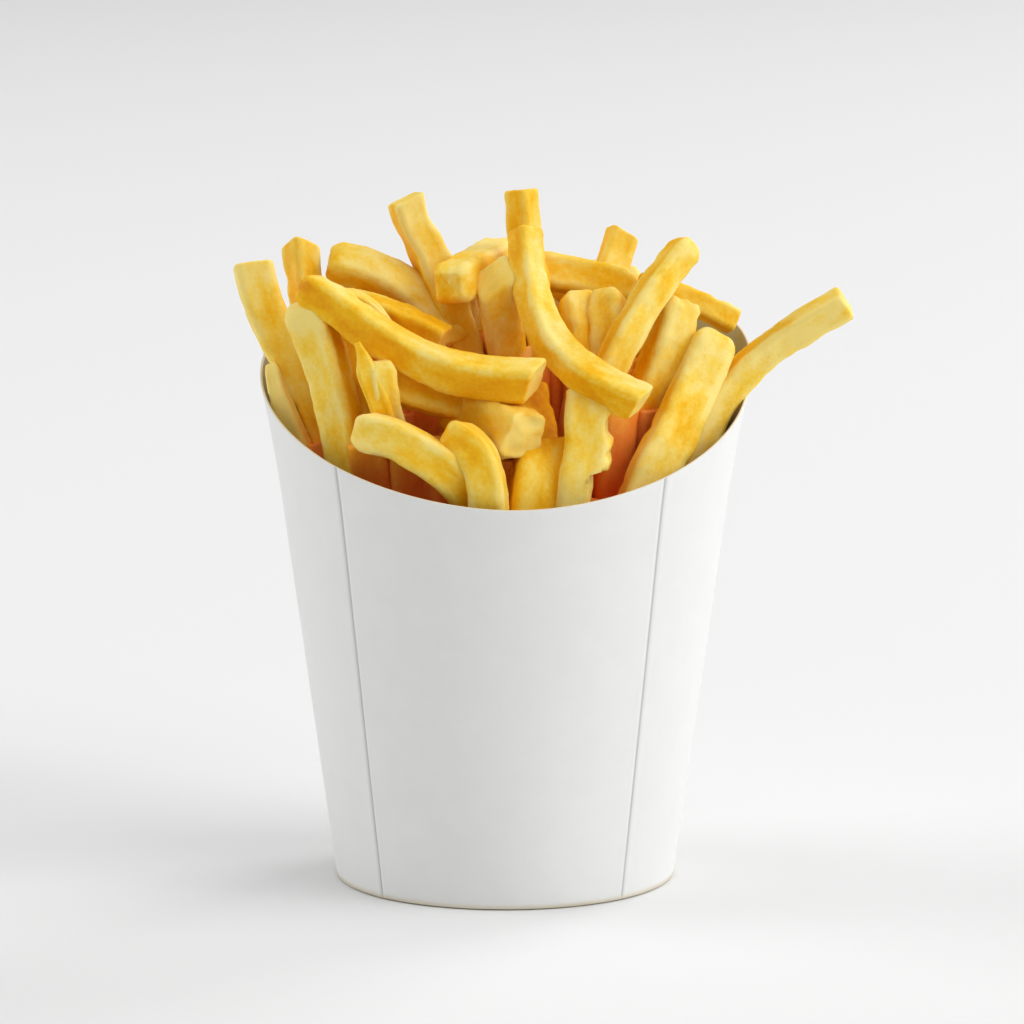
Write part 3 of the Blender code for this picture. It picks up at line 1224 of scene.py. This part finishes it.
def shown_fries() -> dict[str, Fry]:
    """The fries that show at the front and sides, each at its own place.

    Returns:
        Each fry by its name.
    """
    cut, rounded, snapped, point = End.CUT, End.ROUND, End.SNAPPED, End.POINT
    return {
        "far_left": Fry(
            ((-50.4, 3, 123.2), (-48.6, 2, 116.4), (-44.6, 1, 107.2), (-38.6, -2, 96.6),
             (-33.8, -7, 86.4)),
            width=7.8, depth=7.2, turn=10, tone=0.4, fade=0.5, sides=(0.0, -0.12, 0.0, 0.0),
            tilt=(0.1, 0.12),
        ),
        "left_sliver": Fry(
            ((-46.4, -3, 103.8), (-45, -5.5, 98.6), (-42.8, -8, 92.5), (-40, -10, 85.6)),
            width=4.6, depth=4.6, turn=-10, tone=0.06, ends=(rounded, cut), taper=(0.66, 1.2),
        ),
        "left_behind": Fry(
            ((-41, 10, 125.6), (-40, 9, 117), (-37.4, 6, 105.4), (-34, 2, 91.8)),
            width=6.0, depth=6.0, turn=40, tone=0.36, fade=0.2, sides=(0.14, -0.1, 0.0, 0.0),
            tilt=(0.45, 0.5),
        ),
        "left_wide": Fry(
            ((-39.2, -14, 118.2), (-35.4, -17, 106.8), (-32.8, -20, 97.2), (-31.4, -22, 88.6),
             (-30, -24, 80)),
            width=8.8, depth=8.2, turn=-24, tone=0.22, fade=0.34, sides=(0.0, 0.0, 0.0, 0.32),
            ends=(rounded, cut), pale=(0.3, 0.0), taper=(1.0, 0.74),
        ),
        "left_shade": Fry(
            ((-31.4, -8, 111.8), (-30.6, -12, 102), (-29.6, -16, 92.6), (-28.6, -18, 83)),
            width=7.0, depth=7.0, turn=10, tone=0.72,
        ),
        "tip_between": Fry(
            ((-19.4, -13.2, 102), (-20.8, -13.2, 108), (-24, -12.8, 114.2), (-27.4, -11.4, 117),
             (-31, -8, 118.6)),
            width=2.8, depth=4.2, turn=10, tone=0.08, ends=(snapped, cut), taper=(0.7, 1.0),
        ),
        "sagging": Fry(
            ((-39.8, -15, 121.4), (-32.4, -18, 117), (-23.4, -22, 111.2), (-12.6, -25, 106.2),
             (-2, -27.5, 104.4), (6, -29, 104.4)),
            width=6.8, depth=6.8, turn=-14, tone=0.58, fade=-0.04, sides=(0.0, 0.0, 0.0, -0.3),
            ends=(rounded, cut), far_tilt=(-0.32, -0.32), pale=(0.0, 1.0), twist=-16, taper=(0.97, 1.1),
        ),
        "arch_back": Fry(
            ((-35.4, 9, 122.8), (-29, 9, 121.4), (-22, 8, 118.2), (-15.6, 6, 113), (-10.6, 2, 106)),
            width=7.8, depth=7.8, turn=42, tone=0.32, sides=(-0.06, 0.24, 0.0, 0.0), ends=(rounded, cut),
            pale=(0.2, 0.0),
        ),
        "stub_mid": Fry(
            ((-12, -10, 109.4), (-18.4, -8, 112.2), (-25.8, -4, 114.4), (-31.8, 2, 114.8)),
            width=6.2, depth=6.2, turn=15, tone=0.5, sides=(0.0, 0.0, 0.0, -0.1),
        ),
        "tall_left": Fry(
            ((-19.8, 9, 135.6), (-18.2, 9, 130.2), (-14.4, 8, 122.8), (-10.8, 6, 113.4), (-6, 1, 100)),
            width=6.8, depth=6.8, turn=20, tone=0.26, fade=0.2, sides=(0.0, 0.3, 0.0, 0.0),
            tilt=(0.0, -0.14),
        ),
        "to_viewer": Fry(
            ((-11, -10, 120.6), (-7, 2, 121.2), (-1, 20, 122.4)),
            width=7.8, depth=8.2, turn=4, tone=0.46, sides=(-0.36, -0.1, 0.0, -0.1), ends=(rounded, cut),
            pale=(0.0, 0.5),
        ),
        "lean_front": Fry(
            ((-2.2, -7, 121.8), (-1, -4, 114.8), (0.4, 0, 106.2), (1.8, 4, 95.6)),
            width=8.0, depth=7.8, turn=6, tone=0.26, tilt=(-0.34, -0.5), pale=(0.6, 0.0),
        ),
        "long_curve": Fry(
            ((4, -4, 130.8), (5, -9, 121.4), (8.4, -17, 111.6), (16.2, -26, 104.8), (26.4, -31, 100.2)),
            width=6.1, depth=6.1, turn=-42, tone=0.48, sides=(0.0, 0.0, 0.0, -0.26),
            far_tilt=(0.0, -0.25), pale=(0.2, 0.9), twist=24, taper=(0.9, 1.14),
        ),
        "top_back": Fry(
            ((3.2, 7, 137.6), (4, 6, 128.6), (6.2, 3, 115.8), (8.6, -2, 104.6)),
            width=5.6, depth=5.6, turn=-32, tone=0.36, fade=0.1, sides=(0.12, 0.0, 0.0, -0.16),
        ),
        "back_flat": Fry(
            ((7, 11, 120.8), (16, 10, 119.4), (25.8, 7, 117.4)),
            width=7.2, depth=7.0, turn=20, tone=0.36, ends=(cut, rounded),
        ),
        "stub_right": Fry(
            ((23.8, 17, 127.6), (22, 15, 122.4), (19.6, 11, 114.8), (17.4, 6, 106.4)),
            width=6.4, depth=6.4, turn=10, tone=0.3, sides=(0.0, 0.1, 0.0, 0.0), tilt=(0.0, 0.2),
        ),
        "lean_right": Fry(
            ((36.8, 2, 127.4), (32, -2, 122), (27, -7, 115.4), (22.8, -11, 108.2), (18.8, -13, 100.2),
             (15.8, -13, 90.2)),
            width=6.0, depth=6.0, turn=16, tone=0.22, fade=0.1, sides=(0.0, 0.26, 0.0, 0.0),
            ends=(rounded, cut),
        ),
        "crumb_a": Fry(
            ((14.2, 3, 117.2), (16.2, -2, 107.6), (17.8, -5, 97)),
            width=7.5, depth=7.0, turn=25, tone=0.42, fade=0.2, ends=(rounded, cut), pale=(0.2, 0.0),
            rough=1.3,
        ),
        "crumb_b": Fry(
            ((20.2, 1, 118), (20.8, -4, 107.8), (21.2, -6, 97)),
            width=7.0, depth=7.0, turn=-20, tone=0.36, fade=0.2, ends=(rounded, cut), pale=(0.3, 0.0),
            rough=1.4,
        ),
        "crumb_end": Fry(
            ((34.8, 0, 115.8), (32.4, -4, 107.8), (28.4, -6, 98), (25.2, -6, 87)),
            turn=24, tone=0.3, fade=0.2, sides=(0.0, 0.26, 0.0, 0.0), ends=(snapped, cut), rough=1.4,
        ),
        "yellow_back": Fry(
            ((27.2, 11, 118.2), (34, 13, 115.4), (40.6, 14, 112.8), (46.4, 15, 110)),
            width=5.2, depth=5.2, turn=20, tone=0.44, pale=(0.0, 0.2),
        ),
        "big_right": Fry(
            ((42, -3, 109.6), (38.6, -8, 102.4), (34.6, -15, 94.4), (29.8, -22, 86), (26.4, -26, 78.4)),
            width=9.6, depth=7.6, turn=8, tone=0.24, fade=0.1, ends=(rounded, cut), pale=(0.3, 0.0),
            taper=(0.92, 1.0),
        ),
        "far_right": Fry(
            ((67.8, -3, 116.2), (58.6, -2, 110.7), (50.2, -2, 104.6), (43.1, -4.2, 97),
             (38.8, -10, 88.4), (35.4, -16, 78.6)),
            width=6.1, depth=6.1, turn=14, tone=0.12, fade=0.16, sides=(0.0, 0.3, 0.0, 0.0),
        ),
        "split_fry": Fry(
            ((-24.2, -27, 108), (-23.6, -27, 102.2), (-22.6, -24, 95.8), (-21.4, -20, 89.2),
             (-20, -10, 77.6)),
            width=5.8, depth=6.0, turn=8, tone=0.32, fade=0.2, ends=(rounded, cut), pale=(0.3, 0.0),
            taper=(0.92, 1.1),
        ),
        "split_spike": Fry(
            ((-28.8, -27, 111.6), (-27.6, -27.4, 108.8), (-26.8, -27.6, 105.8), (-25, -27.6, 101.2),
             (-23.4, -26, 95.8)),
            width=4.4, depth=5.4, tone=0.24, ends=(point, cut), pale=(0.0, 0.0),
        ),
        "front_left": Fry(
            ((-28.8, -31, 95.2), (-21.2, -34, 93.4), (-14.6, -36, 90), (-9, -36, 85.2), (-4.8, -32, 78.4)),
            width=7.6, turn=4, tone=0.36, fade=0.36, sides=(0.0, 0.0, 0.0, -0.1), ends=(rounded, cut),
            pale=(0.4, 0.0),
        ),
        "front_arch": Fry(
            ((-10.6, -33, 94.8), (-6.2, -37, 92), (-4, -39, 87.4), (-3.2, -39, 81), (-3.2, -37, 74.4)),
            depth=7.2, turn=-8, tone=0.36, fade=-0.2, ends=(rounded, cut), pale=(0.2, 0.0),
        ),
        "brown_under": Fry(
            ((-23.6, -20, 103.2), (-12.8, -20, 100), (-2, -18, 97.4)),
            width=8.0, turn=20, tone=0.56, rough=1.4,
        ),
        "chunk": Fry(
            ((-8.4, -15, 97), (-2.6, -24, 95.6), (3.8, -33, 94)),
            width=10.2, depth=10.4, turn=10, tone=0.44, ends=(cut, snapped), pale=(0.0, 0.7), rough=1.3,
        ),
        "jagged": Fry(
            ((16.6, -24, 100.2), (16.4, -28, 96.4), (16.2, -31, 91), (15.2, -34, 84.6), (14, -36, 76.2)),
            width=9.2, depth=7.6, turn=-6, tone=0.34, fade=0.1, sides=(0.0, 0.0, 0.0, -0.2),
            pale=(0.0, 0.0), chips=((3, 6.5, 2.6, 1.2), (3, 12.2, 0.8, 0.9), (3, 21.5, 5.4, 3.4)),
        ),
        "front_gold": Fry(
            ((8, -25, 90.6), (7.4, -30, 86), (6.6, -33, 81.6), (6.2, -34, 77.8)),
            width=12.0, depth=7.6, turn=12, tone=0.56, sides=(0.0, 0.3, 0.0, 0.0), tilt=(0.0, -0.42),
            pale=(0.0, 0.0),
        ),
        "shade_strip": Fry(
            ((4.4, -10, 99.6), (6.6, -18, 91), (8.8, -26, 80.4)),
            width=6.6, depth=7.0, turn=30, tone=0.8,
        ),
    }


@dataclass(frozen=True)
class StandingFries:
    """The fries that show at the front and sides."""

    heap: HeapShape
    section: SectionGrid = SectionGrid()
    step: float = 0.85

    def surface(self) -> Surface:
        """All of them as one surface."""
        fries = enumerate(shown_fries().values(), 1)
        return join([fry.surface(self.section, self.heap, self.step, seed) for seed, fry in fries])


@dataclass(frozen=True)
class DeepFries:
    """Fries that stand behind the front ones and show only through the gaps between them.

    Each line runs from the fry's top to its foot. The first seed is the noise of the first fry.
    """

    heap: HeapShape
    first_seed: int = 60
    lines: tuple[tuple[Point, Point], ...] = (
        ((-27, -25, 92), (-23, -20, 60)),
        ((-20, -25.5, 93), (-18, -21, 60)),
        ((-13, -26, 92), (-12, -22, 60)),
        ((-6, -26, 90), (-6, -22, 60)),
        ((0.5, -25, 89), (0, -22, 60)),
        ((22, -14, 98), (19, -13, 62)),
    )
    width: float = 7.6
    turn_step: float = 23.0
    tone: float = 0.7
    section: SectionGrid = SectionGrid(5, 2)
    step: float = 1.6

    def surface(self) -> Surface:
        """All of them as one surface.

        Returns:
            The surface.
        """
        skins = []
        for index, line in enumerate(self.lines):
            fry = Fry(line, self.width, self.width, self.turn_step * index, self.tone)
            skins.append(fry.surface(self.section, self.heap, self.step, self.first_seed + index))
        return join(skins)


# Radians from one foot of the spiral to the next, and the height above which a head is kept in as
# if it stood there.
GOLDEN_ANGLE = 2.399963
WIDEST_AT = 104.0


@dataclass(frozen=True)
class LooseFries:
    """Fries that fill the carton between and behind the others, set out by a sunflower spiral.

    Inner and outer bound the spiral, as shares of its area, and from_y is how far forwards it may
    come. Sink under the heap's top, drop from head to foot, and tone are drawn from their ranges.
    """

    shape: CartonShape
    heap: HeapShape
    count: int
    seed: int
    inner: float = 0.0
    outer: float = 1.0
    from_y: float = -60.0
    spread: float = 32.0
    clearance: float = 5.2
    thinnest: float = 6.6
    thicker_by: float = 1.6
    flatter_by: float = 0.8
    bend: float = 5.0
    sink: tuple[float, float] = (9.0, 15.0)
    aside: float = 5.5
    drop: tuple[float, float] = (34.0, 44.0)
    lean: float = 0.35
    tone: tuple[float, float] = (0.25, 0.6)
    front_sink: float = 0.0
    section: SectionGrid = SectionGrid(3, 2)
    step: float = 3.0

    def fries(self) -> list[Fry]:
        """Lines of the fries.

        Foot number i lies at the square root of i over the count of the radius, and a golden angle
        on from the last. Its head leans out and a little aside, kept clear of the board, and
        stands at the heap's top less its own sink.

        Returns:
            The fries.
        """
        draw = np.random.default_rng(self.seed)
        made = []
        for index in range(self.count):
            share = math.sqrt(self.inner + (self.outer - self.inner) * (index + 0.5) / self.count)
            angle = index * GOLDEN_ANGLE + draw.uniform(-0.2, 0.2)
            heading = np.array([math.sin(angle), -math.cos(angle)])
            foot = heading * share * self.spread
            aside = draw.uniform(-1.0, 1.0, 2) * self.aside
            head = foot * (1.0 + self.lean * share) + aside
            top = float(self.heap.top(np.array([head[0], head[1], 0.0]))) - draw.uniform(*self.sink)
            top -= self.front_sink * float(smooth(2.0, 22.0, np.array(-head[1])))
            fall = draw.uniform(*self.drop)
            head = self.kept_inside(head, min(top, WIDEST_AT))
            numbers = draw.uniform(0.0, 1.0, 8)
            if head[1] < self.from_y:
                continue
            foot[1] = max(foot[1], self.from_y)
            mid = (foot + head) / 2.0 + (numbers[:2] - 0.5) * self.bend
            low = top - fall
            foot = self.kept_inside(foot, low)
            line = ((*head, top), (*mid, (top + low) / 2.0), (*foot, low))
            size = self.thinnest + self.thicker_by * numbers[2]
            ends = ((End.CUT, End.ROUND, End.SNAPPED)[int(numbers[3] * 3)], End.CUT)
            tone = self.tone[0] + (self.tone[1] - self.tone[0]) * numbers[4]
            depth = size - self.flatter_by * numbers[5]
            turn = 90.0 * numbers[6]
            made.append(Fry(line, size, depth, turn, tone, ends=ends, pale=(numbers[7], 0.0)))
        return made

    def kept_inside(self, place: Array, height: float) -> Array:
        """Pulls a fry's end in towards the axis, until it clears the board.

        Args:
            place: Its x and y.
            height: Its height.

        Returns:
            The new x and y.
        """
        limit = float(self.shape.inner_radius(np.array(height))) - self.clearance
        return place * min(1.0, limit / max(1.0, float(np.linalg.norm(place))))

    def surface(self) -> Surface:
        """All of them as one surface, each with its own seed."""
        fries = enumerate(self.fries(), self.seed * 100)
        return join([fry.surface(self.section, self.heap, self.step, seed) for seed, fry in fries])


@dataclass(frozen=True)
class HeapCore:
    """Packed middle of the heap, seen only deep down between the fries, all of it in painted gap shade."""

    shape: CartonShape
    heap: HeapShape
    below: float = 18.0
    below_rim: float = 10.0
    gap: float = 1.2
    foot: float = 1.4
    wide_at: float = 60.0
    columns: int = 120
    side_rows: int = 10
    top_rows: int = 24
    rough: float = 2.2
    tone: float = 0.8
    # Painted gap shade over the whole core.
    painted_gap_shade: float = 0.9

    def surface(self) -> Surface:
        """A column that fills the carton to well under the heap's top.

        Rings climb the inner wall to a height that lies a set depth under the heap, then close in
        over an uneven top, whose ridges are noise stretched along the fries.

        Returns:
            The surface, with the same values as a fry.
        """
        angle = np.linspace(0.0, math.tau, self.columns, endpoint=False)
        heading = np.stack([np.sin(angle), -np.cos(angle)], axis=-1)
        share = np.concatenate([np.ones(self.side_rows), np.linspace(0.96, 0.03, self.top_rows)])
        climb = np.concatenate([np.linspace(0.0, 1.0, self.side_rows), np.ones(self.top_rows)])
        wide = self.shape.inner_radius(np.array(self.wide_at)) - self.gap
        flat = share[:, None, None] * heading[None] * wide
        top = self.heap.top(flat) - self.below
        top = np.minimum(top, self.shape.rim(angle)[None] - self.below_rim)
        height = self.foot + (top - self.foot) * climb[:, None]
        limit = self.shape.inner_radius(height) - self.gap
        flat = share[:, None, None] * heading[None] * limit[..., None]
        points = np.concatenate([flat, height[..., None]], axis=-1)
        rough = lattice_noise(points * np.array([1.0, 1.0, 0.2]), 5.0, 21)
        rough = rough + 0.5 * lattice_noise(points, 2.2, 22)
        points[..., 2] += self.rough * rough * climb[:, None] * (share < 1.0)[:, None]
        rows, columns = points.shape[:2]
        ones = np.ones(rows * columns)
        values = {"tone": self.tone * ones, "ridge": 0.0 * ones, "pith": 0.0 * ones,
                  "painted_gap_shade": self.painted_gap_shade * ones, "rest": points.reshape(-1, 3) * MM}
        return Surface(
            points.reshape(-1, 3),
            grid_quads(rows, columns),
            caps=[np.arange(columns)[::-1], np.arange(columns) + (rows - 1) * columns],
            values=values,
        )


# ---------------------------------------------------------------- studio


@dataclass(frozen=True)
class Light:
    """A soft square light that faces the carton: its place and side in metres, and its power."""

    name: str
    place: Point
    side: float
    watts: float

    def build(self, aim: Vector) -> None:
        """Puts the light into the scene.

        Args:
            aim: The point that it faces.
        """
        lamp = bpy.data.lights.new(self.name, "AREA")
        lamp.size = self.side
        lamp.energy = self.watts
        obj = bpy.data.objects.new(self.name, lamp)
        obj.location = self.place
        obj.rotation_euler = (aim - Vector(self.place)).to_track_quat("-Z", "Y").to_euler()
        bpy.context.scene.collection.objects.link(obj)


@dataclass(frozen=True)
class Studio:
    """Pale floor, soft lights and the camera, in metres and degrees."""

    distance: float = 1.2
    elevation: float = 9.43
    aim_height: float = 0.08
    lens: float = 210.9
    shift: tuple[float, float] = (0.0069, -0.0313)
    floor_half: float = 6.0
    floor_drop: float = 0.0002
    floor_colour: Colour = (0.80, 0.80, 0.80)
    floor_roughness: float = 0.8
    surround: float = 0.374
    lights: tuple[Light, ...] = (
        Light("key_right", (2.8, -0.5, 1.8), 2.0, 40.2),
        Light("key_front_right", (2.3, -1.9, 2.1), 2.0, 28.1),
        Light("fill_left", (-2.9, 0.5, 1.5), 2.0, 34.6),
        Light("overhead", (0.0, 0.0, 3.0), 2.5, 22.5),
        Light("back_right", (2.0, 2.2, 1.6), 1.5, 33.2),
    )

    def build_floor(self) -> None:
        """Wide flat floor, a hair under the carton."""
        material, _, shader = new_material("pale_floor")
        shader.inputs["Base Color"].default_value = (*self.floor_colour, 1.0)
        shader.inputs["Roughness"].default_value = self.floor_roughness
        half = self.floor_half
        corners = [(-half, -half, 0), (half, -half, 0), (half, half, 0), (-half, half, 0)]
        mesh = bpy.data.meshes.new("floor")
        mesh.from_pydata(corners, [], [(0, 1, 2, 3)])
        mesh.materials.append(material)
        obj = bpy.data.objects.new("floor", mesh)
        obj.location.z = -self.floor_drop
        bpy.context.scene.collection.objects.link(obj)

    def build_surround(self) -> None:
        """Even white light from all round."""
        world = bpy.data.worlds.new("soft_surround")
        world.use_nodes = True
        background = world.node_tree.nodes["Background"]
        background.inputs["Color"].default_value = (1.0, 1.0, 1.0, 1.0)
        background.inputs["Strength"].default_value = self.surround
        bpy.context.scene.world = world

    def build_camera(self) -> None:
        """Long lens a little above the carton, looking along +Y."""
        angle = math.radians(self.elevation)
        lens = bpy.data.cameras.new("camera")
        lens.lens = self.lens
        lens.shift_x, lens.shift_y = self.shift
        obj = bpy.data.objects.new("camera", lens)
        back = self.distance
        obj.location = (0.0, -back * math.cos(angle), self.aim_height + back * math.sin(angle))
        obj.rotation_euler = (math.pi / 2.0 - angle, 0.0, 0.0)
        bpy.context.scene.collection.objects.link(obj)
        bpy.context.scene.camera = obj

    def build(self) -> None:
        """Sets up the floor, the lights and the camera."""
        self.build_floor()
        self.build_surround()
        for light in self.lights:
            light.build(Vector((0.0, 0.0, self.aim_height)))
        self.build_camera()
        bpy.context.scene.view_settings.view_transform = "Standard"


def main() -> None:
    """Builds the carton and its fries, then the studio, and reports each piece."""
    logging.basicConfig(level=logging.INFO, format="%(message)s")
    shape = CartonShape()
    heap = HeapShape()
    crust = CrustPattern().group()
    board = BoardPattern().group()
    potato = PotatoFinish("fried_potato").material(crust)
    paperboard = BoardFinish("paperboard").material(board)
    disc = BoardFinish("board_disc", face=(0.82, 0.81, 0.77), shade=(0.76, 0.75, 0.71)).material(board)

    carton = Carton(shape)
    sleeve = put_mesh("carton_sleeve", carton.sleeve(), paperboard)
    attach(sleeve, "root")
    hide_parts("carton_wall")
    report(sleeve)

    floor_disc = put_mesh("carton_floor_disc", carton.floor_disc(), disc)
    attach(floor_disc, "root")
    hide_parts("carton_base")
    report(floor_disc)

    standing = put_mesh("standing_fries", StandingFries(heap).surface(), potato)
    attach(standing, "root")
    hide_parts("fries")
    report(standing)

    others = {
        # These heaps set where the painted gap shade starts and becomes full.
        "deep_fries": DeepFries(HeapShape(shallow=-1.0, deep=14.0)),
        "packed_fries": LooseFries(
            shape, HeapShape(shallow=2.0, deep=12.0), count=130, seed=7, front_sink=10.0,
        ),
        "rear_fill": LooseFries(
            shape, heap, count=120, seed=23, outer=1.1, from_y=6.0, sink=(3.0, 10.0), aside=14.0,
            drop=(18.0, 34.0), tone=(0.2, 0.5), section=SectionGrid(5, 2), step=1.6,
        ),
        "rear_fries": LooseFries(
            shape, heap, count=54, seed=12, inner=0.1, outer=1.1, from_y=12.0, sink=(-0.5, 4.0), aside=34.0,
            drop=(4.0, 24.0), tone=(0.15, 0.5), section=SectionGrid(6, 3), step=1.0,
        ),
    }
    for name, group in others.items():
        piece = put_mesh(name, group.surface(), potato)
        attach(piece, "root")
        report(piece)

    core = put_mesh("heap_core", HeapCore(shape, HeapShape(back=100.0)).surface(), potato)
    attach(core, "root")
    report(core)

    Studio().build()


if __name__ == "__main__":
    main()
